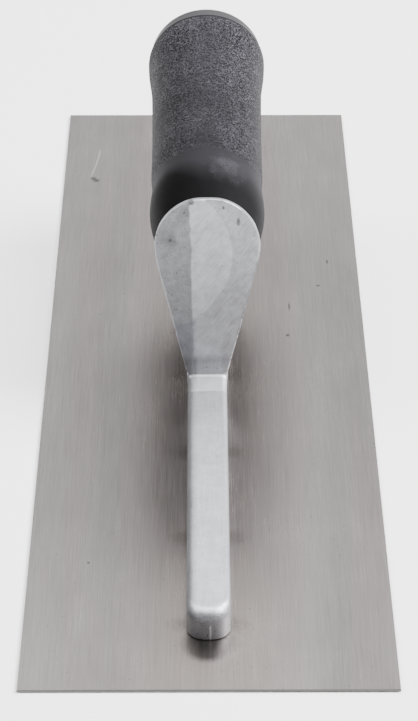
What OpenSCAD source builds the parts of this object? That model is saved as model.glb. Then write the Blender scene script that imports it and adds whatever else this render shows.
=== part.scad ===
/* [Blade] */
// Length of the blade, toe to heel
blade_length = 355.6; // [330:0.1:420]
// Width of the blade
blade_width = 101.6; // [90:0.1:130]
// Thickness of the blade sheet
blade_thickness = 0.7; // [0.5:0.1:1.5]

/* [Mounting] */
// Width of the bar along the blade
bar_width = 12; // [11:0.1:15]
// Height of the bar above the blade
bar_height = 9; // [8:0.1:11]
// Bare blade left beyond each end of the bar
bar_end_gap = 22.2; // [15:0.1:26]
// Distance from the middle of the blade forward to the foot of the neck
neck_setback = 31.6; // [20:0.1:45]
// Height of the neck above the bar
neck_height = 59.2; // [56:0.1:64]
// Greatest width of the neck, at the head
head_width = 32.6; // [30:0.1:34]
// Thickness of the head at the handle axis, from its face to the handle
head_thickness = 5; // [4:0.1:7]
// Backward lean of the neck's face, in degrees
face_lean = 5; // [3:0.5:7]

/* [Handle] */
// Rise of the handle towards its rear end, in degrees
handle_rise = 4; // [1:0.5:7]
// Length of the grip from the head to the end cap
grip_length = 111.8; // [108:0.1:116]
// Diameter of the grip at its waist, just behind the collar
grip_waist = 34.1; // [32.5:0.1:36]
// Diameter of the collar at its fullest
grip_collar = 35.3; // [33.5:0.1:37]
// Diameter of the flared rear lip of the grip
grip_lip = 38.8; // [37.5:0.1:42]
// Length of the rounded collar at the front of the grip
collar_length = 29; // [22:0.5:32]
// Thickness of the end cap
cap_thickness = 6.7; // [6:0.1:10]

/* [Fasteners] */
// Diameter of the rivet shanks
rivet_diameter = 4; // [3:0.1:4.5]
// Distance between neighbouring rivets
rivet_pitch = 46; // [40:0.5:47]
// Diameter of the handle bolt
bolt_diameter = 8; // [6:0.1:8]

/* [Hidden] */
$fn = 64;
arc_steps = 12;
// Small overlap that makes joined solids one
eps = 0.01;
// How far a cutting shape runs past the face it cuts
over = 1;

// Bar of the mounting
bar_length = blade_length - 2 * bar_end_gap;
bar_top = blade_thickness + bar_height;
bar_corner_r = 5.2;
bar_nose_r = 3;
bar_edge_r = 1.6;

// Neck, in its own leaning frame: x across, y back from the face, z up the lean
neck_foot_y = -neck_setback;
neck_foot_inset = 0.4;
neck_foot_half = bar_width / 2 - neck_foot_inset;
head_half = head_width / 2;
head_crown = 0.25;
head_shoulder_r = 11;
head_rim = 0.8;
head_back_half = 13;
head_wide_z = neck_height - head_shoulder_r - head_crown;
head_corner_x = head_half - head_shoulder_r;
crown_r = (head_corner_x * head_corner_x + head_crown * head_crown) / (2 * head_crown);
crown_angle = asin(head_corner_x / crown_r);
web_depth = 10;
web_half = 5;
web_top_z = 20;
web_fillet_r = 22;
web_tail = 4;
web_reach = web_depth + web_fillet_r + web_tail;
cheek_inset = 0.3;
cheek_drop = 3.5;
flank_inset = 1.3;
flank_drop = 11;

// Handle axis: it leaves the back of the head, which is square to the axis
axis_drop = 16.2;
axis_z = neck_height - axis_drop;
head_wedge = face_lean + handle_rise;

// Grip: a collar that rounds over in front, a waist, a slow swell and a lip
waist_r = grip_waist / 2;
collar_r = grip_collar / 2;
collar_nose = 2.6;
collar_nose_power = 1.8;
collar_peak = 16;
lip_r = grip_lip / 2;
lip_start = grip_length - 22;
lip_full = grip_length - 3;
lip_edge = 0.3;
belly = 0.4;
belly_full = 38;
swell = 1.1;
swell_start = 58;
swell_power = 1.3;
grip_steps = 40;
grip_crowding = 1.3;

// Core inside the grip, with grooves that anchor it
core_r = 14;
groove_count = 3;
groove_depth = 0.8;
groove_width = 4;
groove_spacing = 24;

// Boss of the mounting inside the handle
boss_r = 9;
boss_length = 14;
boss_clearance = 0.2;
key_width = 4;
key_height = 2.4;
key_length = 10;

// Handle bolt and its seat
bolt_r = bolt_diameter / 2;
thread_bottom_s = 1.5 - head_thickness;
bolt_tip_s = thread_bottom_s + 1.5;
seat_s = 98;
seat_r = 9;
washer_r = 8;
washer_thickness = 1.6;
lock_r = 7;
lock_thickness = 2;
lock_split = 1.2;
bolt_head_r = 6.5;
bolt_head_height = 8;
socket_width = 6;
socket_depth = 4;
bolt_clearance = 0.3;

// End cap
cap_front_r = lip_r - 0.6;
cap_side_r = lip_r - 0.8;
cap_round_r = 2.4;
cap_plug_r = seat_r - 0.1;
cap_plug_wall = 1.6;
cap_plug_length = 2;

// Rivets: four pairs set evenly about the middle of the blade
rivet_r = rivet_diameter / 2;
rivet_head_r = rivet_r + 1.5;
rivet_neck_r = rivet_r + 0.2;
rivet_depth = 5.5;
rivet_end_margin = 8;
rivet_middle_gap = 26.6;
rivet_offsets = [
    rivet_middle_gap / 2,
    rivet_middle_gap / 2 + rivet_pitch,
    rivet_middle_gap / 2 + 2 * rivet_pitch,
    bar_length / 2 - rivet_end_margin
];
rivet_pairs = len(rivet_offsets);
rivet_count = 2 * rivet_pairs;

// Place of rivet i along the blade, counted from the toe
function rivet_y(i) = i <= rivet_pairs
    ? -rivet_offsets[rivet_pairs - i]
    : rivet_offsets[i - rivet_pairs - 1];

// Points along an arc, from angle a to angle b
function arc(cx, cy, r, a, b) =
    [for (k = [0 : arc_steps]) let (t = a + (b - a) * k / arc_steps) [cx + r * cos(t), cy + r * sin(t)]];

// Eases from 0 at x = a to 1 at x = b
function ease(x, a, b) = let (t = min(1, max(0, (x - a) / (b - a)))) t * t * (3 - 2 * t);

// Radius of the collar at distance s behind the head
function collar_radius(s) =
    collar_r
    - collar_nose * pow(max(0, 1 - s / collar_peak), collar_nose_power)
    - (collar_r - waist_r) * ease(s, collar_peak, collar_length);

// Radius of the grip behind its collar
function body_radius(s) =
    waist_r + belly * ease(s, collar_length, belly_full)
    + swell * pow(max(0, s - swell_start) / (grip_length - swell_start), swell_power)
    + (lip_r - waist_r - belly - swell) * ease(s, lip_start, lip_full);

// Radius of the grip at distance s behind the head
function grip_radius(s) = s < collar_length ? collar_radius(s) : body_radius(s);

// Thickness of the head at height z: a wedge between its face and its back
function head_depth(z) = head_thickness / cos(head_wedge) - (z - axis_z) * tan(head_wedge);

// Moves to the neck's leaning frame at its foot on the bar
module in_neck() {
    translate([0, neck_foot_y, bar_top])
        rotate([-face_lean, 0, 0])
            children();
}

// Moves to the handle's frame: z runs back along the handle from the head
module in_handle() {
    in_neck()
        translate([0, 0, axis_z])
            rotate([head_wedge - 90, 0, 0])
                translate([0, 0, head_thickness])
                    children();
}

// Rectangle with exact round corners, centred
module rounded_rectangle(width, height, r) {
    square([width - 2 * r, height], center = true);
    square([width, height - 2 * r], center = true);
    for (x = [-1, 1], y = [-1, 1])
        translate([x * (width / 2 - r), y * (height / 2 - r)])
            circle(r);
}

// Bar: the shape common to its plan, its side and its cross-section
module bar() {
    intersection() {
        translate([0, 0, blade_thickness])
            linear_extrude(bar_height)
                rounded_rectangle(bar_width, bar_length, bar_corner_r);
        translate([0, 0, bar_top - bar_height])
            rotate([90, 0, 90])
                linear_extrude(bar_width, center = true)
                    rounded_rectangle(bar_length, 2 * bar_height, bar_nose_r);
        translate([0, 0, bar_top - bar_height])
            rotate([90, 0, 0])
                linear_extrude(bar_length, center = true)
                    rounded_rectangle(bar_width, 2 * bar_height, bar_edge_r);
    }
}

// Outline of the neck's face, from the bar up to the crowned head
module face_outline() {
    side = concat(
        [[0, -over], [neck_foot_half, -over]],
        [[head_half - flank_inset, head_wide_z - flank_drop]],
        [[head_half - cheek_inset, head_wide_z - cheek_drop]],
        arc(head_corner_x, head_wide_z, head_shoulder_r, 0, 85),
        arc(0, neck_height - crown_r, crown_r, 90 - crown_angle, 90)
    );
    polygon(side);
    mirror([1, 0])
        polygon(side);
}

// Side of the neck: the face in front, the web behind it with a fillet to the bar
module side_outline() {
    high = axis_z + head_back_half;
    low = axis_z - core_r;
    polygon(concat(
        [[0, -over], [0, neck_height + over], [head_rim, neck_height + over], [head_rim, neck_height]],
        [[head_depth(high), high], [head_depth(low), low]],
        [[web_depth, web_top_z]],
        arc(web_depth + web_fillet_r, web_fillet_r, web_fillet_r, 185, 270),
        [[web_reach, 0], [web_reach, -over]]
    ));
}

// Plan of the neck: full width at the face, narrowing to the web
module plan_outline() {
    side = [
        [0, 0], [head_half + over, 0], [head_half + over, head_rim],
        [head_back_half, head_thickness], [web_half, web_depth], [web_half, web_reach], [0, web_reach]
    ];
    polygon(side);
    mirror([1, 0])
        polygon(side);
}

module neck() {
    in_neck()
        intersection() {
            rotate([90, 0, 0])
                translate([0, 0, -web_reach])
                    linear_extrude(web_reach)
                        face_outline();
            rotate([90, 0, 90])
                linear_extrude(head_width, center = true)
                    side_outline();
            translate([0, 0, -over])
                linear_extrude(neck_height + over)
                    plan_outline();
        }
}

// Boss with two keys that stop the handle turning
module boss() {
    in_handle() {
        translate([0, 0, -eps])
            cylinder(h = boss_length + eps, r = boss_r);
        for (side = [-1, 1])
            translate([side * boss_r, 0, key_length / 2])
                cube([2 * key_height, key_width, key_length], center = true);
    }
}

module mounting() {
    color("silver")
        difference() {
            union() {
                bar();
                neck();
                boss();
            }
            for (i = [1 : rivet_count])
                translate([0, rivet_y(i), blade_thickness])
                    cylinder(h = rivet_depth, r = rivet_r);
            in_handle()
                translate([0, 0, thread_bottom_s])
                    cylinder(h = boss_length - thread_bottom_s + over, r = bolt_r);
        }
}

module blade() {
    color("lightgray")
        difference() {
            translate([-blade_width / 2, -blade_length / 2, 0])
                cube([blade_width, blade_length, blade_thickness]);
            for (i = [1 : rivet_count])
                translate([0, rivet_y(i), 0])
                    cylinder(h = blade_thickness, r1 = rivet_head_r, r2 = rivet_neck_r);
        }
}

// Countersunk rivet: its head fills the blade, its shank goes up into the bar
module rivet(i) {
    color("gainsboro")
        translate([0, rivet_y(i), 0]) {
            cylinder(h = blade_thickness, r1 = rivet_head_r, r2 = rivet_neck_r);
            cylinder(h = blade_thickness + rivet_depth, r = rivet_r);
        }
}

// Ring grooves round the core that anchor the grip
module anchor_rings(outer_r) {
    for (k = [1 : groove_count])
        translate([0, 0, k * groove_spacing])
            rotate_extrude()
                translate([core_r - groove_depth, 0])
                    square([outer_r - core_r + groove_depth, groove_width]);
}

// Hard core of the handle: socket in front, bolt hole, counterbored seat behind
module handle_core() {
    key_slot = [
        2 * (key_height + boss_clearance),
        key_width + 2 * boss_clearance,
        key_length + over
    ];
    color("gray")
        in_handle()
            difference() {
                cylinder(h = grip_length, r = core_r);
                translate([0, 0, -over])
                    cylinder(h = boss_length + 1.5 * over, r = boss_r + boss_clearance);
                for (side = [-1, 1])
                    translate([side * boss_r, 0, key_length / 2])
                        cube(key_slot, center = true);
                cylinder(h = grip_length, r = bolt_r + bolt_clearance);
                translate([0, 0, seat_s])
                    cylinder(h = grip_length, r = seat_r);
                anchor_rings(core_r + over);
            }
}

// Soft grip moulded round the core, filling its grooves
module grip_sleeve() {
    outer = [
        for (k = [0 : grip_steps])
            let (s = (grip_length - lip_edge) * pow(k / grip_steps, grip_crowding))
            [grip_radius(s), s]
    ];
    rear_edge = [[lip_r - lip_edge, grip_length], [core_r, grip_length]];
    color("dimgray")
        in_handle() {
            rotate_extrude()
                polygon(concat([[core_r, 0]], outer, rear_edge));
            anchor_rings(core_r + eps);
        }
}

// Cap that closes the bolt hole: rounded disc with a plug inside the seat
module end_cap() {
    round_r = cap_side_r - cap_round_r;
    color("darkgray")
        in_handle()
            translate([0, 0, grip_length])
                rotate_extrude()
                    polygon(concat(
                        [[0, 0], [cap_plug_r - cap_plug_wall, 0]],
                        [[cap_plug_r - cap_plug_wall, -cap_plug_length]],
                        [[cap_plug_r, -cap_plug_length], [cap_plug_r, 0], [cap_front_r, 0]],
                        arc(round_r, cap_thickness - cap_round_r, cap_round_r, 0, 90),
                        [[0, cap_thickness]]
                    ));
}

// Ring round the bolt
module washer(thickness, outer_r) {
    difference() {
        cylinder(h = thickness, r = outer_r);
        translate([0, 0, -over])
            cylinder(h = thickness + 2 * over, r = bolt_r + bolt_clearance);
    }
}

module bolt_washer() {
    color("lightsteelblue")
        in_handle()
            translate([0, 0, seat_s])
                washer(washer_thickness, washer_r);
}

// Split spring washer under the bolt head
module lock_washer() {
    color("slategray")
        in_handle()
            translate([0, 0, seat_s + washer_thickness])
                difference() {
                    washer(lock_thickness, lock_r);
                    translate([0, -lock_split / 2, -over])
                        cube([lock_r + over, lock_split, lock_thickness + 2 * over]);
                }
}

// Socket-head bolt that draws the handle against the head
module handle_bolt() {
    head_s = seat_s + washer_thickness + lock_thickness;
    color("steelblue")
        in_handle()
            difference() {
                union() {
                    translate([0, 0, bolt_tip_s])
                        cylinder(h = head_s - bolt_tip_s + eps, r = bolt_r);
                    translate([0, 0, head_s])
                        cylinder(h = bolt_head_height, r = bolt_head_r);
                }
                translate([0, 0, head_s + bolt_head_height - socket_depth])
                    cylinder(h = socket_depth + over, r = socket_width / sqrt(3), $fn = 6);
            }
}

blade();
mounting();
handle_core();
grip_sleeve();
end_cap();
handle_bolt();
bolt_washer();
lock_washer();
for (i = [1 : rivet_count]) {
    rivet(i);
}
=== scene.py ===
import math

import bmesh
import bpy
import numpy as np
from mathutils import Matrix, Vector


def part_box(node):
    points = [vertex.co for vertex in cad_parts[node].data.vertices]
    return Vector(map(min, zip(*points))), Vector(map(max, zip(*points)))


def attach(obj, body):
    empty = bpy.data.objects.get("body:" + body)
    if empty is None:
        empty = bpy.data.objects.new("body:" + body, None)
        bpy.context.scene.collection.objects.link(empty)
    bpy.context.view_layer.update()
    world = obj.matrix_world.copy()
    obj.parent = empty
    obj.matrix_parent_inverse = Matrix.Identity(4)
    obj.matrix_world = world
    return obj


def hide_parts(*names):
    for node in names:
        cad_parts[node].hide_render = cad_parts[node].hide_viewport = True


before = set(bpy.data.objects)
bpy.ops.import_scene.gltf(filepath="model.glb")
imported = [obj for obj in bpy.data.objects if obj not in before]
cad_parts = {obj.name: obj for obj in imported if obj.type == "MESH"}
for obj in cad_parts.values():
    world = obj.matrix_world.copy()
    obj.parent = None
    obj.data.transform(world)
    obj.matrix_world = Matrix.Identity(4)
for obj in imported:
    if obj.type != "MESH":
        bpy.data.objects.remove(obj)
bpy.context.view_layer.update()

# ---------------------------------------------------------------- sizes, in millimetres
MM = 0.001


def size_of(node):
    """Lowest and highest corner of a frame node, in millimetres."""
    low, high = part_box(node)
    return np.array(low) / MM, np.array(high) / MM


def middle_of(node):
    """Middle of a frame node along the blade, in millimetres."""
    low, high = size_of(node)
    return float((low[1] + high[1]) / 2)


# Blade
HALF_WIDTH, HALF_LENGTH, SHEET = size_of("blade")[1]
BLADE_BEVEL = 0.12
DIMPLE_DEPTH = 0.10
DIMPLE_ACROSS = 8
DIMPLE_ALONG = 6
RIPPLE = 0.02
NEAR_BAR = 18

# Bar of the mounting
HEAD_HALF, BAR_HALF_LENGTH, MOUNTING_TOP = size_of("mounting")[1]
BAR_HALF_WIDTH = 6.0
BAR_TOP = SHEET + 9.0
BAR_CORNER = 5.2
BAR_EDGE = 1.6
BAR_EDGE_GROWTH = 1.4
END_CREASE = 0.07

# Facet ground on the left of the bar's top: its edge, that edge's drift along the bar, and its tilt
FACET_EDGE = 2.6
FACET_DRIFT = 0.006
FACET_ORIGIN = -100
FACET_TILT = 0.05

# Neck, in its own leaning frame that starts at its foot on the bar
NECK_FOOT = -31.6
NECK_HEIGHT = 59.2
FLANK_FOOT = 5.848
FLANK_SLOPE = 0.2477
FLANK_SCALE = 0.971
HEAD_THICKNESS = 5.0
SHOULDER_RADIUS = 14.0
CHEEK_BLEND = 1.4
CROWN_CURVE = 104
FACE_LEAN = math.radians(5)
HANDLE_RISE = math.radians(4)
RAMP_LENGTH = 7.5
RAMP_SLOPE = 0.10
RAMP_TAIL = 8

# Passes ground on the face: a strip at the left, an area low at the right, and the foot
LEFT_PASS_EDGE = 5.2
LEFT_PASS_DRIFT = 0.02
LEFT_PASS_TILT = 0.06
LOW_PASS_ACROSS = 16.5
LOW_PASS_HIGH = 41
LOW_PASS_RADIUS = 24
LOW_PASS_TILT = 0.04
FOOT_PASS_HIGH = 8
FOOT_PASS_TILT = 0.09

# Back of the neck
WEB_DEPTH = 10
WEB_TOP = 20
WEB_HALF = 5
WEB_FILLET = 22
WEB_NORMAL = (0.958, 0.287)
BACK_BLEND = 3.5
BACK_HALF = 13
BACK_SLOPE = 1.6
BACK_SCALE = 0.53
RIM_REACH = 0.6
RIM_SLOPE = 0.738
RIM_SCALE = 0.805

# Boss and keys inside the handle, and the bolt's hole
AXIS_HEIGHT = NECK_HEIGHT - 16.2
BOSS_RADIUS = 9.0
BOSS_LENGTH = 14.0
BOSS_ROOT = -1
KEY_REACH = 11.4
KEY_HALF = 2
KEY_LENGTH = 10
BOLT_RADIUS = 4.0
BOLT_HOLE_START = -3.5

# Grip
CORE_RADIUS = 14.0
GRIP_LENGTH = 111.8
COLLAR_LENGTH = 29.0
COLLAR_PEAK = 16.0
COLLAR_RADIUS = 17.65
COLLAR_NOSE = 2.6
COLLAR_POWER = 1.8
TEXTURE_START = 27.0
TEXTURE_END = 110.6
WAIST_RADIUS = 17.05
BELLY = 0.4
BELLY_FULL = 38.0
SWELL = 1.1
SWELL_START = 58.0
SWELL_POWER = 1.3
LIP_RADIUS = 19.4
LIP_START = GRIP_LENGTH - 22
LIP_FULL = GRIP_LENGTH - 3
LIP_ROUNDING = 0.7

# End cap
CAP_RADIUS = 18.6
CAP_THICKNESS = 6.7
CAP_FRONT_INSET = 0.6
CAP_ROUNDING = 2.4
PLUG_BORE = 7.3
PLUG_RADIUS = 8.9
PLUG_LENGTH = 2

# Recess in the cap's rear face: depth and radius, from its rim to its middle
CAP_RECESS = ((0, 13.6), (0.1, 13.2), (0.6, 12.8), (0.7, 12.4), (0.7, 6), (0.65, 3), (0.6, 0))

# Rivets
RIVET_RADIUS = 2.0
RIVET_TOP = SHEET + 5.5
RIVET_HEAD_RADIUS = RIVET_RADIUS + 1.5
RIVET_THROAT_RADIUS = RIVET_RADIUS + 0.2
RIVETS = sorted(middle_of(node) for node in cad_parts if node.startswith("rivet_"))

# Handle frame: it starts behind the head and runs back along the handle
AXIS = np.array([0.0, math.cos(HANDLE_RISE), math.sin(HANDLE_RISE)])
AXIS_UP = np.array([0.0, -math.sin(HANDLE_RISE), math.cos(HANDLE_RISE)])
HANDLE_START = np.array([
    0.0,
    NECK_FOOT + AXIS_HEIGHT * math.sin(FACE_LEAN),
    BAR_TOP + AXIS_HEIGHT * math.cos(FACE_LEAN),
]) + HEAD_THICKNESS * AXIS


# ---------------------------------------------------------------- shape functions
def ease(x, a, b):
    """Rises smoothly from 0 at x = a to 1 at x = b."""
    t = np.clip((x - a) / (b - a), 0, 1)
    return t * t * (3 - 2 * t)


def round_max(a, b, r):
    """Where two solids meet, with their shared edge rounded to radius r."""
    return np.minimum(-r, np.maximum(a, b)) + np.hypot(np.maximum(a + r, 0), np.maximum(b + r, 0))


def round_min(a, b, r):
    """Two solids joined, with a fillet of radius r between them."""
    return np.maximum(r, np.minimum(a, b)) - np.hypot(np.maximum(r - a, 0), np.maximum(r - b, 0))


def soft_max(a, b, k):
    """Greater of two distances, blended over a width k."""
    h = np.clip(0.5 + 0.5 * (a - b) / k, 0, 1)
    return b * (1 - h) + a * h + k * h * (1 - h)


def soft_min(a, b, k):
    """Lesser of two distances, blended over a width k."""
    return -soft_max(-a, -b, k)


def surface_net(distance, xs, ys, zs):
    """Points and quads on the zero surface of distance(x, y, z) over a grid."""
    grid = np.meshgrid(xs, ys, zs, indexing="ij")
    d = distance(*grid)
    inside = d < 0
    shape = tuple(n - 1 for n in d.shape)
    corners = [(i, j, k) for i in (0, 1) for j in (0, 1) for k in (0, 1)]

    def corner(values, c):
        return values[tuple(slice(o, o + n) for o, n in zip(c, shape))]

    filled = sum(corner(inside, c).astype(np.int8) for c in corners)
    cells = np.nonzero((filled > 0) & (filled < 8))
    index = np.full(shape, -1, np.int64)
    index[cells] = np.arange(len(cells[0]))
    total = np.zeros((len(cells[0]), 3))
    count = np.zeros(len(cells[0]))
    for a in corners:
        for axis in range(3):
            if a[axis]:
                continue
            b = tuple(1 if k == axis else a[k] for k in range(3))
            ia = tuple(c + o for c, o in zip(cells, a))
            ib = tuple(c + o for c, o in zip(cells, b))
            va, vb = d[ia], d[ib]
            crossing = (va < 0) != (vb < 0)
            t = np.where(crossing, va / np.where(crossing, va - vb, 1), 0)
            pa = np.stack([g[ia] for g in grid], 1)
            pb = np.stack([g[ib] for g in grid], 1)
            total += np.where(crossing[:, None], pa + t[:, None] * (pb - pa), 0)
            count += crossing
    points = total / count[:, None]
    faces = []
    for axis in range(3):
        u, v = (axis + 1) % 3, (axis + 2) % 3
        start = [slice(1, n) for n in shape]
        start[axis] = slice(0, shape[axis])
        end = list(start)
        end[axis] = slice(1, shape[axis] + 1)
        first, second = inside[tuple(start)], inside[tuple(end)]
        at = np.array(np.nonzero(first != second))
        for k in (u, v):
            at[k] += 1
        ring = []
        for du, dv in ((-1, -1), (0, -1), (0, 0), (-1, 0)):
            cell = at.copy()
            cell[u] += du
            cell[v] += dv
            ring.append(index[tuple(cell)])
        quad = np.stack(ring, 1)
        outward = inside[tuple(at)]
        quad[~outward] = quad[~outward][:, ::-1]
        faces.append(quad)
    faces = np.concatenate(faces)
    return onto_surface(distance, points), faces


def onto_surface(distance, points, probe=0.02, longest_step=0.3, least_slope=0.25):
    """Moves points along the slope of distance until they lie on its zero surface."""
    for _ in range(4):
        value = distance(*points.T)
        slope = np.stack([
            (distance(*(points + probe * e).T) - distance(*(points - probe * e).T)) / (2 * probe)
            for e in np.eye(3)
        ], 1)
        step = value[:, None] * slope / np.maximum((slope * slope).sum(1), least_slope)[:, None]
        points = points - np.clip(step, -longest_step, longest_step)
    return points


def make_mesh(name, points, faces, smooth_angle=40):
    """Mesh object from points in millimetres, smooth except across edges sharper than smooth_angle."""
    mesh = bpy.data.meshes.new(name)
    mesh.from_pydata((np.asarray(points) * MM).tolist(), [], [list(map(int, f)) for f in faces])
    mesh.validate()
    piece = bpy.data.objects.new(name, mesh)
    bpy.context.scene.collection.objects.link(piece)
    shade(piece, smooth_angle)
    return piece


def shade(piece, smooth_angle):
    """Smooth shading, except across edges sharper than smooth_angle in degrees."""
    mesh = piece.data
    mesh.polygons.foreach_set("use_smooth", [True] * len(mesh.polygons))
    mesh.set_sharp_from_angle(angle=math.radians(smooth_angle))
    mesh.update()


# ---------------------------------------------------------------- mounting
def along_handle(x, y, z):
    """Distance along the handle from its start, height over its axis, and distance from its axis."""
    dy, dz = y - HANDLE_START[1], z - HANDLE_START[2]
    s = dy * AXIS[1] + dz * AXIS[2]
    up = dy * AXIS_UP[1] + dz * AXIS_UP[2]
    return s, up, np.hypot(x, up)


def bar_distance(x, y, z):
    """Bar with rounded, slightly creased ends, a facet on its top and a small ramp up to the neck."""
    qx = np.abs(x) - (BAR_HALF_WIDTH - BAR_CORNER)
    qy = np.abs(y) - (BAR_HALF_LENGTH - BAR_CORNER)
    plan = np.hypot(np.maximum(qx, 0), np.maximum(qy, 0)) + np.minimum(np.maximum(qx, qy), 0) - BAR_CORNER
    crease = (np.abs(y) - BAR_HALF_LENGTH) * math.cos(END_CREASE) + np.abs(x) * math.sin(END_CREASE)
    plan = np.maximum(plan, crease)
    top = z - BAR_TOP
    past_edge = -x - FACET_EDGE + FACET_DRIFT * (y - FACET_ORIGIN)
    facet = top * math.cos(FACET_TILT) + past_edge * math.sin(FACET_TILT)
    ramp_start = NECK_FOOT - RAMP_LENGTH
    ramp = top - (y - ramp_start) * math.tan(RAMP_SLOPE)
    ramp = np.maximum(ramp, np.maximum(ramp_start - y, y - NECK_FOOT - RAMP_TAIL))
    top = np.minimum(np.maximum(top, facet), ramp)
    edge = BAR_EDGE + BAR_EDGE_GROWTH * ease(np.abs(y), BAR_HALF_LENGTH - 7, BAR_HALF_LENGTH - 3)
    return np.maximum(round_max(plan, top, edge), SHEET - z)


def face_outline(x, high):
    """Outline of the face: flanks that widen upward, round shoulders, a slightly domed crown."""
    width = np.abs(x)
    flank = (width - FLANK_FOOT - FLANK_SLOPE * high) * FLANK_SCALE
    cheek = soft_max(flank, width - HEAD_HALF, CHEEK_BLEND)
    crown = high - NECK_HEIGHT + x * x / CROWN_CURVE
    return round_max(cheek, crown, SHOULDER_RADIUS)


def ground_face_distance(x, back, high):
    """Front of the neck, ground in several passes."""
    past_edge = -x - LEFT_PASS_EDGE + LEFT_PASS_DRIFT * (NECK_HEIGHT - high)
    left_pass = -back * math.cos(LEFT_PASS_TILT) + past_edge * math.sin(LEFT_PASS_TILT)
    from_centre = np.hypot(x + LOW_PASS_ACROSS, high - LOW_PASS_HIGH)
    low_pass = -back + LOW_PASS_TILT * (from_centre - LOW_PASS_RADIUS)
    foot_pass = -back + FOOT_PASS_TILT * (FOOT_PASS_HIGH - high)
    return np.maximum(np.maximum(np.maximum(-back, left_pass), low_pass), foot_pass)


def neck_back_distance(back, high):
    """Back of the neck: the wedge of the head, then a web with a long fillet down to the bar."""
    wedge = FACE_LEAN + HANDLE_RISE
    behind_head = back - HEAD_THICKNESS / math.cos(wedge)
    head = behind_head * math.cos(wedge) + (high - AXIS_HEIGHT) * math.sin(wedge)
    slope = (back - WEB_DEPTH) * WEB_NORMAL[0] + (high - WEB_TOP) * WEB_NORMAL[1]
    u, w = back - WEB_DEPTH - WEB_FILLET, high - WEB_FILLET
    hollow = np.maximum(WEB_FILLET - np.hypot(u, w), np.maximum(u, w))
    return soft_min(np.minimum(head, slope), hollow, BACK_BLEND)


def neck_plan_distance(x, back):
    """Plan of the neck: a thin rim at the face, and behind the head sides that draw in to the web."""
    width = np.abs(x)
    rim = (width - HEAD_HALF - RIM_REACH + RIM_SLOPE * back) * RIM_SCALE
    draw = (width - BACK_HALF + BACK_SLOPE * (back - HEAD_THICKNESS)) * BACK_SCALE
    drawn_in = soft_max(np.minimum(draw, width - WEB_HALF), rim, 0.6)
    return np.where(back < HEAD_THICKNESS, rim, drawn_in)


def neck_distance(x, y, z):
    """Neck and head, from the face, the outline, the plan and the back."""
    dy, dz = y - NECK_FOOT, z - BAR_TOP
    back = dy * math.cos(FACE_LEAN) - dz * math.sin(FACE_LEAN)
    high = dy * math.sin(FACE_LEAN) + dz * math.cos(FACE_LEAN)
    solid = round_max(face_outline(x, high), ground_face_distance(x, back, high), 0.3)
    solid = round_max(solid, neck_plan_distance(x, back), 0.5)
    return round_max(solid, neck_back_distance(back, high), 0.9)


def boss_distance(x, s, up, radius):
    """Boss inside the handle, with two keys that stop it turning."""
    boss = np.maximum(radius - BOSS_RADIUS, np.maximum(s - BOSS_LENGTH, BOSS_ROOT - s))
    key = np.maximum(np.abs(x) - KEY_REACH, np.abs(up) - KEY_HALF)
    return np.minimum(boss, np.maximum(key, np.maximum(s - KEY_LENGTH, BOSS_ROOT - s)))


def mounting_distance(x, y, z):
    """The whole casting, with a fillet at the neck's foot and the holes for the bolt and the rivets."""
    solid = round_min(bar_distance(x, y, z), np.maximum(neck_distance(x, y, z), SHEET + 0.5 - z), 1.3)
    s, up, radius = along_handle(x, y, z)
    solid = np.minimum(solid, boss_distance(x, s, up, radius))
    solid = np.maximum(solid, -np.maximum(radius - BOLT_RADIUS, BOLT_HOLE_START - s))
    for at in RIVETS:
        hole = np.maximum(np.hypot(x, y - at) - RIVET_RADIUS, z - RIVET_TOP)
        solid = np.maximum(solid, -hole)
    return solid


def spaced(*stretches):
    """Grid lines over joined stretches, each (start, end, spacing)."""
    lines = [np.linspace(a, b, max(2, round((b - a) / step) + 1)) for a, b, step in stretches]
    return np.unique(np.concatenate(lines).round(6))


def build_mounting():
    """Mesh of the casting, from a grid that is fine at the neck and the bar's ends."""
    fine = 0.45
    coarse = 3 * fine
    end = BAR_HALF_LENGTH
    margin, end_zone = 1, 8
    neck_start, neck_end = NECK_FOOT - 10, NECK_FOOT + 42
    half = HEAD_HALF + margin
    points, faces = surface_net(
        mounting_distance,
        spaced((-half, half, fine)),
        spaced(
            (-end - margin, -end + end_zone, fine), (-end + end_zone, neck_start, coarse),
            (neck_start, neck_end, fine),
            (neck_end, end - end_zone, coarse), (end - end_zone, end + margin, fine),
        ),
        spaced((SHEET - 0.6, MOUNTING_TOP + margin, fine)),
    )
    return make_mesh("cast_mounting", points, faces, 50)


# ---------------------------------------------------------------- turned pieces
def revolve(name, outline, segments=160, smooth_angle=35):
    """Closed ring or disc turned about the handle axis from a closed outline of (distance along, radius)."""
    outline = np.array(outline, float)
    angles = np.linspace(0, 2 * math.pi, segments, endpoint=False)
    points, rings = [], []
    for s, r in outline:
        centre = HANDLE_START + s * AXIS
        if r < 1e-6:
            rings.append([len(points)] * segments)
            points.append(centre)
            continue
        rings.append(list(range(len(points), len(points) + segments)))
        for a in angles:
            points.append(centre + r * (math.sin(a) * np.array([1.0, 0, 0]) + math.cos(a) * AXIS_UP))
    faces = []
    for i in range(len(rings)):
        lower, upper = rings[i], rings[(i + 1) % len(rings)]
        if lower[0] == lower[1] and upper[0] == upper[1]:
            continue
        for j in range(segments):
            k = (j + 1) % segments
            quad = [lower[j], lower[k], upper[k], upper[j]]
            faces.append(list(dict.fromkeys(quad)))
    piece = make_mesh(name, points, faces, smooth_angle)
    mesh = bmesh.new()
    mesh.from_mesh(piece.data)
    bmesh.ops.recalc_face_normals(mesh, faces=mesh.faces)
    mesh.to_mesh(piece.data)
    mesh.free()
    shade(piece, smooth_angle)
    return piece


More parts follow.
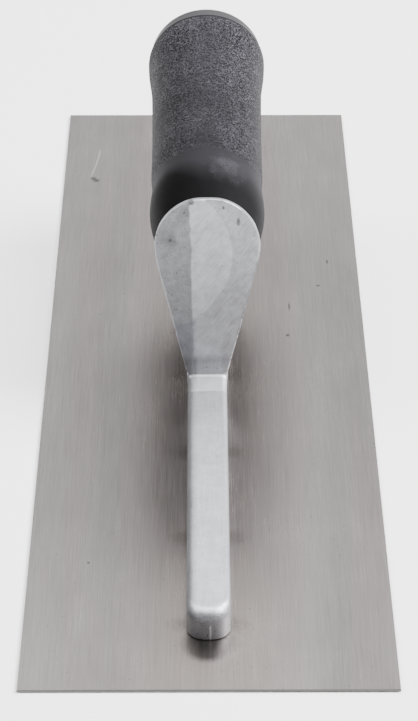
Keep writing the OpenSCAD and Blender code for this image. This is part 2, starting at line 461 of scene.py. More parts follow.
def arc_points(s, r, radius, start, end, steps):
    """Points of an arc about (s, r), from angle start to end in degrees: 0 points outward, 90 back."""
    return [
        (s + radius * math.sin(math.radians(a)), r + radius * math.cos(math.radians(a)))
        for a in np.linspace(start, end, steps)
    ]


def grip_radius(s):
    """Radius of the grip at distance s behind the head."""
    if s < COLLAR_LENGTH:
        nose = COLLAR_NOSE * max(0, 1 - s / COLLAR_PEAK) ** COLLAR_POWER
        fall = (COLLAR_RADIUS - WAIST_RADIUS) * ease(s, COLLAR_PEAK, COLLAR_LENGTH)
        return float(COLLAR_RADIUS - nose - fall)
    belly = BELLY * ease(s, COLLAR_LENGTH, BELLY_FULL)
    swell = SWELL * (max(0, s - SWELL_START) / (GRIP_LENGTH - SWELL_START)) ** SWELL_POWER
    lip = (LIP_RADIUS - WAIST_RADIUS - BELLY - SWELL) * ease(s, LIP_START, LIP_FULL)
    return float(WAIST_RADIUS + belly + swell + lip)


def build_grip():
    """Soft grip round the core, open from end to end."""
    rear = GRIP_LENGTH - LIP_ROUNDING
    stations = [COLLAR_LENGTH * (k / 40) ** 1.3 for k in range(40)]
    stations += list(np.linspace(COLLAR_LENGTH, rear, 90))
    outer = [(s, grip_radius(s)) for s in stations]
    rear_radius = outer[-1][1]
    rounding = arc_points(rear, rear_radius - LIP_ROUNDING, LIP_ROUNDING, 10, 90, 7)
    bore = [(GRIP_LENGTH, CORE_RADIUS), (0, CORE_RADIUS)]
    return revolve("soft_grip", outer + rounding + bore, 200)


def build_cap():
    """Rounded disc with a plug in front and a shallow recess in its rear face."""
    start, end = GRIP_LENGTH, GRIP_LENGTH + CAP_THICKNESS
    outline = [
        (start, 0), (start, PLUG_BORE), (start - PLUG_LENGTH, PLUG_BORE),
        (start - PLUG_LENGTH, PLUG_RADIUS), (start, PLUG_RADIUS), (start, LIP_RADIUS - CAP_FRONT_INSET),
    ]
    outline += arc_points(end - CAP_ROUNDING, CAP_RADIUS - CAP_ROUNDING, CAP_ROUNDING, 0, 80, 12)
    outline += [(end - depth, radius) for depth, radius in CAP_RECESS]
    return revolve("rear_cap", outline, 160)


# ---------------------------------------------------------------- blade
def blade_top(x, y):
    """Height of the blade's upper face: drawn down a little round each rivet, and nearly flat elsewhere."""
    height = np.full_like(x, SHEET)
    for at in RIVETS:
        height -= DIMPLE_DEPTH * np.exp(-((x / DIMPLE_ACROSS) ** 2 + ((y - at) / DIMPLE_ALONG) ** 2))
    height += RIPPLE * np.sin(y / 37 + 0.4) * np.cos(x / 21) - RIPPLE
    return height


def build_blade():
    """Flat sheet with a fine edge all round and a countersunk hole for each rivet."""
    xs = spaced(
        (-HALF_WIDTH + BLADE_BEVEL, -NEAR_BAR, 4), (-NEAR_BAR, NEAR_BAR, 1),
        (NEAR_BAR, HALF_WIDTH - BLADE_BEVEL, 4),
    )
    ys = spaced((-HALF_LENGTH + BLADE_BEVEL, HALF_LENGTH - BLADE_BEVEL, 2))
    gx, gy = np.meshgrid(xs, ys, indexing="ij")
    top = np.stack([gx, gy, blade_top(gx, gy)], 2).reshape(-1, 3)
    nx, ny = len(xs), len(ys)

    def at(i, j):
        return i * ny + j

    faces = [
        [at(i, j), at(i + 1, j), at(i + 1, j + 1), at(i, j + 1)]
        for i in range(nx - 1) for j in range(ny - 1)
    ]
    border = [at(i, 0) for i in range(nx - 1)] + [at(nx - 1, j) for j in range(ny - 1)]
    border += [at(i, ny - 1) for i in range(nx - 1, 0, -1)] + [at(0, j) for j in range(ny - 1, 0, -1)]
    rim = top[border]
    outward = np.stack([
        np.where(np.isclose(np.abs(rim[:, 0]), xs[-1]), np.sign(rim[:, 0]), 0),
        np.where(np.isclose(np.abs(rim[:, 1]), ys[-1]), np.sign(rim[:, 1]), 0),
    ], 1)
    points = [top]
    rings = [border]
    for reach, z in (
        (BLADE_BEVEL, SHEET - BLADE_BEVEL - 2 * RIPPLE), (BLADE_BEVEL, BLADE_BEVEL), (0.0, 0.0),
    ):
        ring = rim.copy()
        ring[:, :2] += outward * reach
        ring[:, 2] = z
        first = sum(len(p) for p in points)
        rings.append(list(range(first, first + len(ring))))
        points.append(ring)
    for lower, upper in zip(rings[1:], rings[:-1]):
        for k in range(len(border)):
            n = (k + 1) % len(border)
            faces.append([lower[k], lower[n], upper[n], upper[k]])
    faces.append(rings[-1][::-1])
    piece = make_mesh("steel_blade", np.concatenate(points), faces, 30)
    for number, y in enumerate(RIVETS):
        bore_rivet_hole(piece, y, number)
    shade(piece, 30)
    return piece


def bore_rivet_hole(piece, y, number):
    """Cuts the countersunk hole of one rivet through the blade."""
    cutter = bpy.data.meshes.new(f"cutter_{number}")
    shape = bmesh.new()
    slope = (RIVET_HEAD_RADIUS - RIVET_THROAT_RADIUS) / SHEET
    bmesh.ops.create_cone(
        shape, cap_ends=True, segments=48, radius1=(RIVET_HEAD_RADIUS + slope) * MM,
        radius2=(RIVET_THROAT_RADIUS - slope) * MM, depth=(SHEET + 2) * MM,
    )
    bmesh.ops.translate(shape, verts=shape.verts, vec=(0, y * MM, SHEET / 2 * MM))
    shape.to_mesh(cutter)
    shape.free()
    tool = bpy.data.objects.new(cutter.name, cutter)
    bpy.context.scene.collection.objects.link(tool)
    modifier = piece.modifiers.new("hole", "BOOLEAN")
    modifier.operation = "DIFFERENCE"
    modifier.solver = "EXACT"
    modifier.object = tool
    bpy.context.view_layer.objects.active = piece
    bpy.ops.object.modifier_apply(modifier=modifier.name)
    bpy.data.objects.remove(tool)
    bpy.data.meshes.remove(cutter)


# ---------------------------------------------------------------- materials
class Paint:
    """Short way to write a node material."""

    def __init__(self, name):
        self.material = bpy.data.materials.new(name)
        self.material.use_nodes = True
        self.tree = self.material.node_tree
        self.shader = self.tree.nodes["Principled BSDF"]
        self.place = self.add("ShaderNodeTexCoord").outputs["Object"]

    def add(self, kind, **settings):
        node = self.tree.nodes.new(kind)
        for key, value in settings.items():
            setattr(node, key, value)
        return node

    def plug(self, value, socket):
        """Gives a socket a number, a colour or another node's output."""
        if isinstance(value, (int, float)):
            socket.default_value = value
        elif isinstance(value, tuple):
            socket.default_value = value if len(value) == len(socket.default_value) else (*value, 1)
        else:
            self.tree.links.new(value, socket)

    def set(self, **values):
        for key, value in values.items():
            self.shader.inputs[key.replace("_", " ")].default_value = value

    def math(self, operation, a, b=0.0):
        """Result of a maths node on numbers or outputs."""
        node = self.add("ShaderNodeMath", operation=operation)
        self.plug(a, node.inputs[0])
        self.plug(b, node.inputs[1])
        return node.outputs[0]

    def both(self, *masks):
        """Product of masks: 1 only where every one is."""
        result = masks[0]
        for mask in masks[1:]:
            result = self.math("MULTIPLY", result, mask)
        return result

    def total(self, *terms):
        """Sum of numbers or outputs."""
        result = terms[0]
        for term in terms[1:]:
            result = self.math("ADD", result, term)
        return result

    def darker(self, level, mask, amount):
        """Level lowered by amount where mask is 1."""
        return self.math("SUBTRACT", level, self.math("MULTIPLY", mask, amount))

    def blend(self, mask, outside, inside):
        """Level that is outside where mask is 0 and inside where it is 1."""
        return self.ramp(mask, 0, 1, outside, inside)

    def ramp(self, source, low, high, out_low=0.0, out_high=1.0):
        """Straight ramp from out_low at source = low to out_high at source = high, level beyond both."""
        node = self.add("ShaderNodeMapRange")
        for value, socket in zip((source, low, high, out_low, out_high), node.inputs):
            self.plug(value, socket)
        return node.outputs["Result"]

    def mix(self, factor, a, b):
        """Colour a where factor is 0, b where it is 1."""
        node = self.add("ShaderNodeMix", data_type="RGBA")
        for value, socket in zip((factor, a, b), (node.inputs[0], node.inputs[6], node.inputs[7])):
            self.plug(value, socket)
        return node.outputs[2]

    def along(self, direction, origin):
        """Distance from origin along a direction, in millimetres."""
        node = self.add("ShaderNodeVectorMath", operation="DOT_PRODUCT")
        self.plug(self.place, node.inputs[0])
        node.inputs[1].default_value = tuple(float(d) / MM for d in direction)
        return self.math("SUBTRACT", node.outputs["Value"], float(np.dot(direction, origin)))

    def combine(self, x, y, z=0.0):
        node = self.add("ShaderNodeCombineXYZ")
        for value, socket in zip((x, y, z), node.inputs):
            self.plug(value, socket)
        return node.outputs[0]

    def noise(self, grain, detail=2.0, roughness=0.5, distortion=0.0, place=None):
        """Noise over the object; grain is its size in millimetres, one number or one for each axis."""
        sizes = grain if hasattr(grain, "__len__") else (grain,) * 3
        unit = 1.0 if place is not None else MM
        stretch = self.add("ShaderNodeVectorMath", operation="DIVIDE")
        self.plug(self.place if place is None else place, stretch.inputs[0])
        stretch.inputs[1].default_value = tuple(size * unit for size in sizes)
        node = self.add("ShaderNodeTexNoise")
        for value, socket in (
            (1.0, "Scale"), (detail, "Detail"), (roughness, "Roughness"), (distortion, "Distortion"),
            (stretch.outputs[0], "Vector"),
        ):
            self.plug(value, node.inputs[socket])
        return node.outputs["Fac"]

    def spot(self, centre, radii, ragged=0.0, edge=0.35):
        """1 inside an ellipsoid round centre (millimetres) and 0 outside it, with a soft, ragged edge."""
        offset = self.add("ShaderNodeVectorMath", operation="SUBTRACT")
        self.plug(self.place, offset.inputs[0])
        offset.inputs[1].default_value = tuple(float(c) * MM for c in centre)
        scaled = self.add("ShaderNodeVectorMath", operation="DIVIDE")
        self.plug(offset.outputs[0], scaled.inputs[0])
        scaled.inputs[1].default_value = tuple(float(r) * MM for r in radii)
        length = self.add("ShaderNodeVectorMath", operation="LENGTH")
        self.plug(scaled.outputs[0], length.inputs[0])
        reach = length.outputs["Value"]
        if ragged:
            wobble = self.ramp(self.noise(min(radii) * 0.9, 2), 0.3, 0.7, -ragged, ragged)
            reach = self.math("ADD", reach, wobble)
        return self.ramp(reach, 1 + edge, 1 - edge)

    def bump(self, height, strength, distance, previous=None):
        node = self.add("ShaderNodeBump")
        node.inputs["Strength"].default_value = strength
        node.inputs["Distance"].default_value = distance * MM
        self.plug(height, node.inputs["Height"])
        if previous is not None:
            self.plug(previous, node.inputs["Normal"])
        return node.outputs["Normal"]

    def finish(self, color=None, roughness=None, normal=None):
        for value, socket in ((color, "Base Color"), (roughness, "Roughness"), (normal, "Normal")):
            if value is not None:
                self.plug(value, self.shader.inputs[socket])
        return self.material


def grey(value, warmth=0.0):
    return (value * (1 + warmth), value, value * (1 - warmth))


BLACK = (0.0, 0.0, 0.0)

# Areas of the blade painted darker: the first three, by the bar and the neck, are painted shade and a
# painted reflection of the handle; then two darker patches and a paler one. Place, reach, and by how much
# (the last is paler)
SHADE_AND_PATCHES = (
    ((-8, -70), (16, 75), 0.09), ((8, -50), (14, 60), 0.02), ((-24, -30), (56, 90), 0.08),
    ((-36, 130), (46, 90), 0.08), ((36, 40), (20, 80), 0.05), ((-32, -165), (50, 45), -0.06),
)

# Dark specks on the blade: place and reach
SPECKS = (
    ((-40.3, 124.4), (0.9, 1.1)), ((-39.3, 122.8), (1.0, 1.1)), ((40.7, 61.2), (0.35, 1.2)),
    ((37.0, 44.3), (0.6, 0.5)), ((27.0, 30.0), (0.3, 2.0)), ((26.0, 11.0), (0.6, 0.7)),
    ((-33.8, -118.5), (0.35, 0.5)),
)

# Middle of the pale scratch on the blade
SCRATCH = (-39.6, 137, 0)

# Pits in the casting's face: across, up, half width, half height
PITS = ((-4.8, 58.4, 0.8, 0.75), (4.8, 56.5, 0.4, 0.5), (9.3, 52.0, 0.55, 1.15), (-11.1, 45.9, 0.5, 0.45))

# Darker stains on the left of the face: across, up, reach
STAINS = ((-13.2, 47.5, 3.0), (-11.0, 44.5, 2.0), (-7.0, 54.5, 2.0))


def blade_mark(paint, place, reach, ragged=0.0, edge=0.35, depth=0.5):
    """Soft spot on the blade's upper face."""
    return paint.spot((*place, SHEET), (*reach, depth), ragged, edge)


def on_upper_face(paint):
    """Mask of the blade's upper face."""
    return paint.ramp(paint.along((0, 0, 1), (0, 0, SHEET)), -0.3, -0.2)


def scratch_mask(paint):
    """Pale, slightly bowed scratch near the far left corner."""
    line = paint.along((0.9926, -0.1214, 0), SCRATCH)
    bow = paint.along((0, 1, 0), (0, SCRATCH[1], 0))
    bent = paint.total(line, paint.math("MULTIPLY", paint.math("MULTIPLY", bow, bow), 0.003))
    return paint.both(
        paint.ramp(paint.math("ABSOLUTE", bent), 0.42, 0.12),
        paint.ramp(paint.math("ABSOLUTE", bow), 11.5, 9),
        on_upper_face(paint),
    )


def brushed_level(paint, fine, cloud):
    """Brightness of the blade, with painted shade and reflections by the bar, and a mask of the dirt at its
    rivets.
    """
    streak = paint.noise((1.6, 70, 900), 3, 0.55)
    broad = paint.noise((20, 320, 900), 2, 0.5)
    level = paint.total(
        paint.ramp(fine, 0.3, 0.7, 0.483, 0.577),
        paint.ramp(streak, 0.25, 0.75, -0.018, 0.018),
        paint.ramp(broad, 0.3, 0.7, -0.06, 0.045),
        paint.ramp(cloud, 0.3, 0.7, -0.03, 0.02),
    )
    dirt = 0.0
    for y in RIVETS:
        smudge = blade_mark(paint, (0, y - 0.5), (7.6, 3.4), 0.35, 0.6)
        haze = blade_mark(paint, (0, y - 3), (12, 26), 0.15, 0.7)
        level = paint.darker(paint.darker(level, smudge, 0.16), haze, 0.045)
        dirt = paint.math("MAXIMUM", smudge, dirt)
    # Painted reflection: the blade is darker just past each end of the bar, where the dark end face would be
    # mirrored
    for end in (-BAR_HALF_LENGTH - 1.5, BAR_HALF_LENGTH + 1.5):
        level = paint.darker(level, blade_mark(paint, (0, end), (6.8, 7.6), 0.05, 0.2), 0.20)
    # Painted shade and the handle's painted reflection by the bar and neck, and darker and paler patches
    # elsewhere
    for place, reach, amount in SHADE_AND_PATCHES:
        level = paint.darker(level, blade_mark(paint, place, reach, 0.0, 0.8), amount)
    return paint.total(level, paint.math("MULTIPLY", scratch_mask(paint), 0.30)), dirt


def specked(paint, color):
    """Colour with dark specks in places and a scatter of fainter flecks."""
    for place, reach in SPECKS:
        speck = blade_mark(paint, place, reach, 0.5, depth=0.4)
        color = paint.mix(paint.math("MULTIPLY", speck, 0.9), color, grey(0.13, 0.04))
    flecks = paint.both(paint.ramp(paint.noise(1.1, 1, 0.5), 0.745, 0.79), on_upper_face(paint), 0.4)
    return paint.mix(flecks, color, grey(0.16, 0.05))


def blade_steel():
    """Stainless sheet brushed along its length, handled and a little scratched, with painted shade and
    reflections by the bar.
    """
    paint = Paint("brushed_stainless")
    fine = paint.noise((0.36, 22, 900), 3, 0.65, 0.1)
    cloud = paint.noise((26, 40, 900), 3, 0.55)
    warm = paint.noise((16, 260, 900), 2, 0.5)
    off_centre = paint.math("ABSOLUTE", paint.along((1, 0, 0), (0, 0, 0)))
    off_middle = paint.math("ABSOLUTE", paint.along((0, 1, 0), (0, 0, 0)))
    level, dirt = brushed_level(paint, fine, cloud)
    hue = paint.mix(paint.ramp(warm, 0.35, 0.65), (1.065, 1.0, 0.995), (1.088, 0.998, 0.985))
    hue = paint.mix(paint.ramp(off_centre, 28, 8, 0, 0.8), hue, (1.11, 1.0, 0.93))
    color = paint.mix(level, BLACK, hue)
    color = paint.mix(paint.math("MULTIPLY", dirt, 0.35), color, (0.31, 0.27, 0.22))
    color = specked(paint, color)
    sheared = paint.math(
        "MAXIMUM", paint.ramp(off_centre, HALF_WIDTH - 0.06, HALF_WIDTH - 0.03),
        paint.ramp(off_middle, HALF_LENGTH - 0.06, HALF_LENGTH - 0.03),
    )
    color = paint.mix(sheared, color, grey(0.10, 0.03))
    rough = paint.total(paint.ramp(fine, 0.2, 0.8, -0.03, 0.03), paint.ramp(cloud, 0.3, 0.7, 0.23, 0.28))
    paint.set(Metallic=1.0, Anisotropic=0.75)
    tangent = paint.add("ShaderNodeTangent", direction_type="RADIAL", axis="Y")
    paint.plug(tangent.outputs[0], paint.shader.inputs["Tangent"])
    return paint.finish(color, rough, paint.bump(fine, 0.02, 0.02))


def face_point(across, up):
    """Point on the face of the neck."""
    return across, NECK_FOOT + up * math.sin(FACE_LEAN), BAR_TOP + up * math.cos(FACE_LEAN)


class CastPaint(Paint):
    """Paint with the casting's coordinates in millimetres, and the noises that its parts share."""

    def __init__(self, name):
        super().__init__(name)
        foot = face_point(0, 0)
        self.x = self.along((1, 0, 0), foot)
        self.y = self.along((0, 1, 0), (0, 0, 0))
        self.z = self.along((0, 0, 1), foot)
        self.high = self.along((0, math.sin(FACE_LEAN), math.cos(FACE_LEAN)), foot)
        self.back = self.along((0, math.cos(FACE_LEAN), -math.sin(FACE_LEAN)), foot)
        self.grain = self.noise(0.7, 4, 0.65)
        self.fine = self.noise(0.28, 3, 0.6)
        self.mottle = self.noise(2.4, 3, 0.6)
        self.patch = self.noise(9, 3, 0.55)
        slant = self.combine(
            self.along((0.64, 0, 0.77), foot), self.along((-0.77, 0, 0.64), foot), self.back,
        )
        self.wheel = self.noise((7, 0.35, 5), 3, 0.6, place=slant)
        self.belt = self.noise((0.4, 18, 5), 3, 0.6)


def cast_skin(paint):
    """Brightness where nothing was ground: painted shade on the bar's left side and toe end, with a mould
    line.
    """
    level = paint.total(
        paint.ramp(paint.grain, 0.3, 0.7, 0.26, 0.35), paint.ramp(paint.patch, 0.3, 0.7, -0.04, 0.03),
    )
    # Painted shade: the bar's left side and its toe end face, the end face darker still towards the left
    shaded_left_side = paint.both(paint.ramp(paint.x, -3.0, -4.8), paint.ramp(paint.z, 0.8, 0.3))
    shaded_toe_end = paint.both(paint.ramp(paint.y, -150, -153.5), paint.ramp(paint.z, -0.8, -2.4))
    level = paint.math("MULTIPLY", level, paint.blend(shaded_left_side, 1, 0.42))
    level = paint.math("MULTIPLY", level, paint.blend(shaded_toe_end, 1, paint.ramp(paint.x, -5, 4, 0.42, 0.68)))
    mould_line = paint.both(
        paint.ramp(paint.math("ABSOLUTE", paint.math("SUBTRACT", paint.x, 0.5)), 0.35, 0.1),
        paint.ramp(paint.z, -4, -5), paint.ramp(paint.y, -150, -152),
    )
    return paint.total(level, paint.math("MULTIPLY", mould_line, 0.16))


def ground_face(paint, left, dull):
    """Brightness of the face: the main pass, an area at the right, a strip at the left, and the foot; the
    last three and the right flank's edge are darkened as painted shade.
    """
    face = paint.total(
        paint.ramp(paint.wheel, 0.3, 0.7, 0.38, 0.52), paint.ramp(paint.patch, 0.3, 0.7, -0.03, 0.03),
        paint.ramp(paint.mottle, 0.3, 0.7, -0.05, 0.05),
    )
    from_centre = paint.add("ShaderNodeVectorMath", operation="LENGTH")
    across, up = paint.total(paint.x, LOW_PASS_ACROSS), paint.math("SUBTRACT", paint.high, LOW_PASS_HIGH)
    paint.plug(paint.combine(across, up), from_centre.inputs[0])
    low = paint.ramp(from_centre.outputs["Value"], LOW_PASS_RADIUS - 0.2, LOW_PASS_RADIUS + 0.3)
    # Painted shade on the low area at the right, whose facet is tilted
    face = paint.darker(face, low, 0.09)
    # Painted shade: the strip at the left is a darker copy of the same ground face
    shaded_strip = paint.total(
        paint.ramp(paint.mottle, 0.3, 0.7, 0.205, 0.275), paint.ramp(paint.fine, 0.3, 0.7, -0.05, 0.05),
    )
    face = paint.blend(left, face, shaded_strip)
    for across, up, reach in STAINS:
        face = paint.darker(face, paint.spot(face_point(across, up), (reach,) * 3, 0.3, 0.5), 0.06)
    face = paint.darker(face, dull, 0.10)
    # Painted shade: the face is darkened almost to black along the foot
    face = paint.blend(paint.ramp(paint.high, 8.4, 5.8, 0, 0.9), face, paint.blend(left, 0.0, 0.15))
    # Painted shade on the right flank's edge, below about 40 mm
    flank = paint.darker(paint.x, paint.high, FLANK_SLOPE)
    edge = paint.both(
        paint.ramp(flank, FLANK_FOOT - 0.7, FLANK_FOOT - 0.2), paint.ramp(paint.high, 46, 38),
    )
    return paint.math("MULTIPLY", face, paint.blend(edge, 1, 0.4))


def ground_top(paint):
    """Brightness of the bar's top: belt marks, a painted highlight on the ramp by the neck, and painted
    shade on the nose at the toe end and along the right edge.
    """
    top = paint.total(
        paint.ramp(paint.belt, 0.25, 0.75, 0.53, 0.67), paint.ramp(paint.patch, 0.3, 0.7, -0.05, 0.04),
        paint.ramp(paint.mottle, 0.3, 0.7, -0.05, 0.05), paint.ramp(paint.grain, 0.3, 0.7, -0.05, 0.05),
        # Painted highlight on the ramp up to the neck
        paint.ramp(paint.y, NECK_FOOT - 7.8, NECK_FOOT - 7.2, 0, 0.17),
    )
    tongue = paint.both(
        paint.ramp(paint.y, -148.6, -149.2), paint.ramp(paint.math("ABSOLUTE", paint.x), 3.6, 3.0),
    )
    # Painted shade on the rounded nose at the toe end
    nose = paint.both(paint.ramp(paint.z, -0.03, -0.3), paint.ramp(paint.y, -151, -152.5))
    # Painted shade along the right edge of the top
    shaded_right_edge = paint.ramp(paint.x, 4.0, 5.0, 1.0, 0.8)
    return paint.both(paint.darker(top, tongue, 0.03), shaded_right_edge, paint.blend(nose, 1, 0.72))


def cast_aluminium():
    """Sand-cast aluminium, its face and the top of its bar ground by hand in several passes."""
    paint = CastPaint("ground_cast_aluminium")
    on_face = paint.both(paint.ramp(paint.back, 0.9, 0.5), paint.ramp(paint.high, 0.2, 1.2))
    on_top = paint.both(
        paint.ramp(paint.z, -0.9, -0.3), paint.ramp(paint.y, NECK_FOOT + 2, NECK_FOOT - 1),
        paint.ramp(paint.x, -5.2, -2.8),
    )
    left_edge = paint.total(
        paint.x, paint.math("MULTIPLY", paint.high, 0.02), paint.ramp(paint.patch, 0.3, 0.7, -0.5, 0.5),
    )
    left = paint.ramp(left_edge, -3.8, -4.3)
    step = paint.total(paint.high, paint.math("MULTIPLY", paint.x, -0.35))
    dull = paint.both(
        paint.ramp(step, 21.0, 20.2), paint.ramp(paint.high, 8, 10), paint.ramp(paint.x, -3.6, -4.4),
    )
    level = paint.blend(on_face, cast_skin(paint), ground_face(paint, left, dull))
    level = paint.blend(on_top, level, ground_top(paint))
    holes = paint.ramp(paint.noise(0.55, 1, 0.5), 0.70, 0.76)
    color = paint.mix(paint.darker(level, holes, 0.22), BLACK, (0.97, 0.985, 1.045))
    color = paint.mix(paint.both(dull, on_face, 0.25), color, (0.42, 0.44, 0.52))
    for across, up, half_width, half_height in PITS:
        pit = paint.spot(face_point(across, up), (half_width, 1.5, half_height), 0.35, 0.3)
        color = paint.mix(paint.math("MULTIPLY", pit, 0.85), color, grey(0.09))
        holes = paint.math("MAXIMUM", holes, pit)
    ground = paint.math("MAXIMUM", on_face, on_top)
    rough = paint.blend(ground, 0.58, paint.ramp(paint.fine, 0.3, 0.7, 0.42, 0.52))
    coarse = paint.blend(ground, paint.grain, paint.math("MULTIPLY", paint.fine, 0.35))
    normal = paint.bump(paint.darker(coarse, holes, 1.5), 0.5, 0.18)
    normal = paint.bump(paint.math("MULTIPLY", paint.wheel, on_face), 0.25, 0.05, normal)
    normal = paint.bump(paint.math("MULTIPLY", paint.belt, on_top), 0.25, 0.05, normal)
    paint.set(Metallic=1.0)
    return paint.finish(color, rough, normal)


def grain_level(paint, along, side, ridge, small, wear):
    """Brightness of the grained grip: pale ridges and dark grooves that are partly the grain's own tone and
    partly painted highlight and shade, paler to the rear, and paler to the right as painted light.
    """
    off_centre = paint.math("ABSOLUTE", side)
    light = paint.total(
        paint.ramp(wear, 0.3, 0.7, 0.040, 0.072), paint.ramp(along, 60, 105, 0.0, 0.03),
        # Painted light: the right side is paler
        paint.ramp(side, 2, 9, 0.0, 0.026),
    )
    light = paint.math("SUBTRACT", light, paint.ramp(off_centre, 10, 2, 0.0, 0.012))
    deep = paint.ramp(off_centre, 10, 3, 0.004, 0.012)
    return paint.ramp(paint.total(ridge, paint.ramp(small, 0.3, 0.7, -0.25, 0.25)), 0.25, 1.1, deep, light)


def collar_level(paint, along, side, small, wear):
    """Brightness of the smooth collar: nearly black, with a painted sheen that rises towards its rear rim,
    painted light on the right and painted shade on the left, and a paler speckled patch at the upper right.
    """
    # Painted sheen: paler towards the collar's rear rim, rising over a shorter stretch on the left
    shaded = paint.math("SUBTRACT", along, paint.ramp(side, -2, -13, 0, 10.5))
    rim = paint.ramp(shaded, 7, paint.ramp(side, -2, -13, 19, 12.5))
    pale_patch_place = HANDLE_START + 16 * AXIS + (6.5, 0, 0) + 15.5 * AXIS_UP
    pale_patch = paint.both(paint.spot(pale_patch_place, (4.5, 5.5, 4), 0.5, 0.6), paint.ramp(small, 0.4, 0.6))
    return paint.total(
        # Random tone; painted light on the right and painted shade on the left; the painted sheen at the
        # rim; the paler speckled patch
        paint.ramp(wear, 0.3, 0.7, 0.0003, 0.0015), paint.ramp(side, 1, 11, 0, 0.0025),
        paint.ramp(side, -9, -1, 0, 0.0022),
        paint.math("MULTIPLY", rim, paint.ramp(small, 0.3, 0.7, 0.008, 0.017)),
        paint.math("MULTIPLY", pale_patch, 0.024),
    )


def soft_black():
    """Black moulded rubber with a fine worm grain, and a smooth collar at the front."""
    paint = Paint("soft_black_grip")
    along = paint.along(AXIS, HANDLE_START)
    side = paint.along((1, 0, 0), HANDLE_START)
    grained = paint.both(
        paint.ramp(along, TEXTURE_START - 0.8, TEXTURE_START + 1.6),
        paint.ramp(along, TEXTURE_END, TEXTURE_END - 0.7),
    )
    worm = paint.noise(0.72, 1, 0.5, 0.8)
    ridge = paint.ramp(paint.math("ABSOLUTE", paint.math("SUBTRACT", worm, 0.5)), 0.085, 0.015)
    small = paint.noise(0.3, 2, 0.5)
    wear = paint.noise(14, 3, 0.6)
    level = paint.blend(
        grained, collar_level(paint, along, side, small, wear),
        grain_level(paint, along, side, ridge, small, wear),
    )
    color = paint.mix(level, BLACK, (0.98, 0.95, 1.08))
    roughness = paint.blend(grained, paint.ramp(small, 0.3, 0.7, 0.58, 0.68), 0.6)
    height = paint.math("MULTIPLY", paint.total(ridge, paint.math("MULTIPLY", small, 0.4)), grained)
    normal = paint.bump(small, 0.2, 0.02, paint.bump(height, 0.65, 0.26))
    paint.set(Specular_IOR_Level=0.035)
    return paint.finish(color, roughness, normal)


def plastic(name, color, rough):
    """Moulded plastic with a faintly uneven satin skin."""
    paint = Paint(name)
    fine = paint.noise(0.5, 2, 0.5)
    cloud = paint.noise(14, 2, 0.5)
    tint = paint.mix(paint.ramp(cloud, 0.3, 0.7), color, tuple(c * 0.85 for c in color))
    roughness = paint.ramp(fine, 0.3, 0.7, rough - 0.05, rough + 0.07)
    return paint.finish(tint, roughness, paint.bump(fine, 0.15, 0.03))


def turned_steel(name, color):
    """Machined steel with fine tool marks."""
    paint = Paint(name)
    fine = paint.noise(0.5, 3, 0.6)
    tint = paint.mix(paint.ramp(fine, 0.3, 0.7), color, tuple(c * 0.8 for c in color))
    roughness = paint.ramp(fine, 0.3, 0.7, 0.28, 0.42)
    paint.set(Metallic=1.0)
    return paint.finish(tint, roughness, paint.bump(fine, 0.2, 0.03))


def coat(piece, material):
    """Gives a piece its one material."""
    piece.data.materials.clear()
    piece.data.materials.append(material)


# ---------------------------------------------------------------- pieces
for piece, node, slot, material in (
    (build_blade(), "blade", "blade_steel", blade_steel()),
    (build_mounting(), "mounting", "cast_aluminium", cast_aluminium()),
    (build_grip(), "grip_sleeve", "grip_rubber", soft_black()),
    (build_cap(), "end_cap", "cap_plastic", plastic("grey_cap_plastic", (0.0235, 0.0225, 0.026), 0.5)),
):
    coat(piece, material)
    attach(piece, "root")
    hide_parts(node)

core = plastic("hard_core_plastic", (0.22, 0.22, 0.23), 0.5)
zinc = turned_steel("zinc_plated_steel", (0.62, 0.62, 0.63))
rivet = turned_steel("rivet_steel", (0.46, 0.45, 0.43))
for name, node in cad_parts.items():
    if name == "handle_core":
        coat(node, core)
    elif name in ("handle_bolt", "bolt_washer", "lock_washer"):
        coat(node, zinc)
    elif name.startswith("rivet_"):
        coat(node, rivet)


# ---------------------------------------------------------------- studio
FLOOR_SIZE = 24
FLOOR_DROP = 0.0002
WALL_FRONT, WALL_BACK = 0.35, 0.92
WALL_LEFT, WALL_RIGHT = 0.86, 1.13
CAMERA_PLACE = (-0.0018, -0.7654, 0.4435)
CAMERA_DOWN = 30.219
CAMERA_TURN = -0.179
CAMERA_LENS = 138.3
CAMERA_SENSOR = 36


def floor():
    """Plain pale floor, just under the blade."""
    bpy.ops.mesh.primitive_plane_add(size=FLOOR_SIZE, location=(0, 0, -FLOOR_DROP))
    plane = bpy.context.object
    plane.name = "studio_floor"
    paint = Paint("studio_white")
    cloud = paint.noise(300, 2, 0.5)
    color = paint.mix(paint.ramp(cloud, 0.3, 0.7), (0.87, 0.87, 0.87), (0.89, 0.89, 0.89))
    paint.set(Roughness=0.9, Specular_IOR_Level=0.2)
    coat(plane, paint.finish(color))


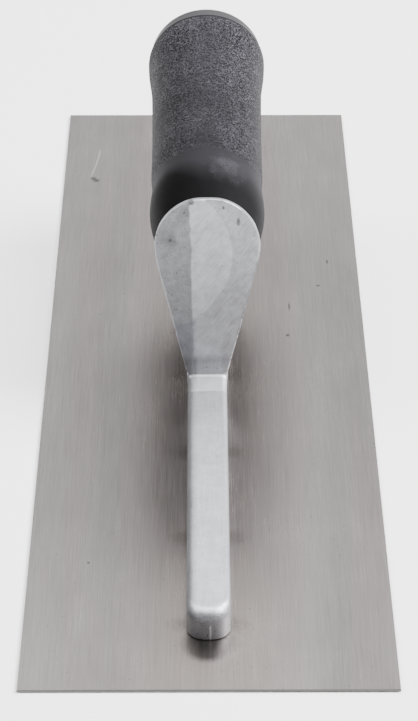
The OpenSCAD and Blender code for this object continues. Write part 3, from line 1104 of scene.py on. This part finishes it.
def softbox(name, place, target, size, power):
    """Rectangular lamp at place, turned to face target."""
    light = bpy.data.lights.new(name, "AREA")
    light.shape = "RECTANGLE"
    light.size, light.size_y = size
    light.energy = power
    lamp = bpy.data.objects.new(name, light)
    bpy.context.scene.collection.objects.link(lamp)
    lamp.location = place
    lamp.rotation_euler = (Vector(target) - Vector(place)).to_track_quat("-Z", "Y").to_euler()


def surroundings():
    """Dim studio walls: darker in front, lighter at the back and to the right."""
    world = bpy.data.worlds.new("studio")
    world.use_nodes = True
    tree = world.node_tree
    place = tree.nodes.new("ShaderNodeTexCoord")
    parts = tree.nodes.new("ShaderNodeSeparateXYZ")
    tree.links.new(place.outputs["Generated"], parts.inputs[0])

    def ramp(source, low, high, out_low, out_high):
        node = tree.nodes.new("ShaderNodeMapRange")
        for value, socket in zip((low, high, out_low, out_high), node.inputs[1:]):
            socket.default_value = value
        tree.links.new(source, node.inputs[0])
        return node.outputs[0]

    product = tree.nodes.new("ShaderNodeMath")
    product.operation = "MULTIPLY"
    tree.links.new(ramp(parts.outputs["Y"], -0.4, 0.5, WALL_FRONT, WALL_BACK), product.inputs[0])
    tree.links.new(ramp(parts.outputs["X"], -0.6, 0.6, WALL_LEFT, WALL_RIGHT), product.inputs[1])
    background = tree.nodes["Background"]
    background.inputs["Color"].default_value = (1, 1, 1, 1)
    tree.links.new(product.outputs[0], background.inputs["Strength"])
    bpy.context.scene.world = world


def camera():
    """Camera at the photo's viewing angle."""
    view = bpy.data.cameras.new("camera")
    view.sensor_fit = "VERTICAL"
    view.sensor_height = CAMERA_SENSOR
    view.lens = CAMERA_LENS
    eye = bpy.data.objects.new("camera", view)
    bpy.context.scene.collection.objects.link(eye)
    eye.location = CAMERA_PLACE
    eye.rotation_euler = (math.radians(90 - CAMERA_DOWN), 0, math.radians(CAMERA_TURN))
    bpy.context.scene.camera = eye


floor()
surroundings()
softbox("overhead", place=(0.1, 0.2, 1.5), target=(0, 0, 0), size=(1.4, 1.4), power=30)
softbox("key_right", place=(1.3, 0.1, 1.3), target=(0, 0, 0.03), size=(1.1, 1.1), power=122)
softbox("fill_left", place=(-1.4, 0.2, 1.4), target=(0, 0, 0.03), size=(1.2, 1.2), power=52)
camera()
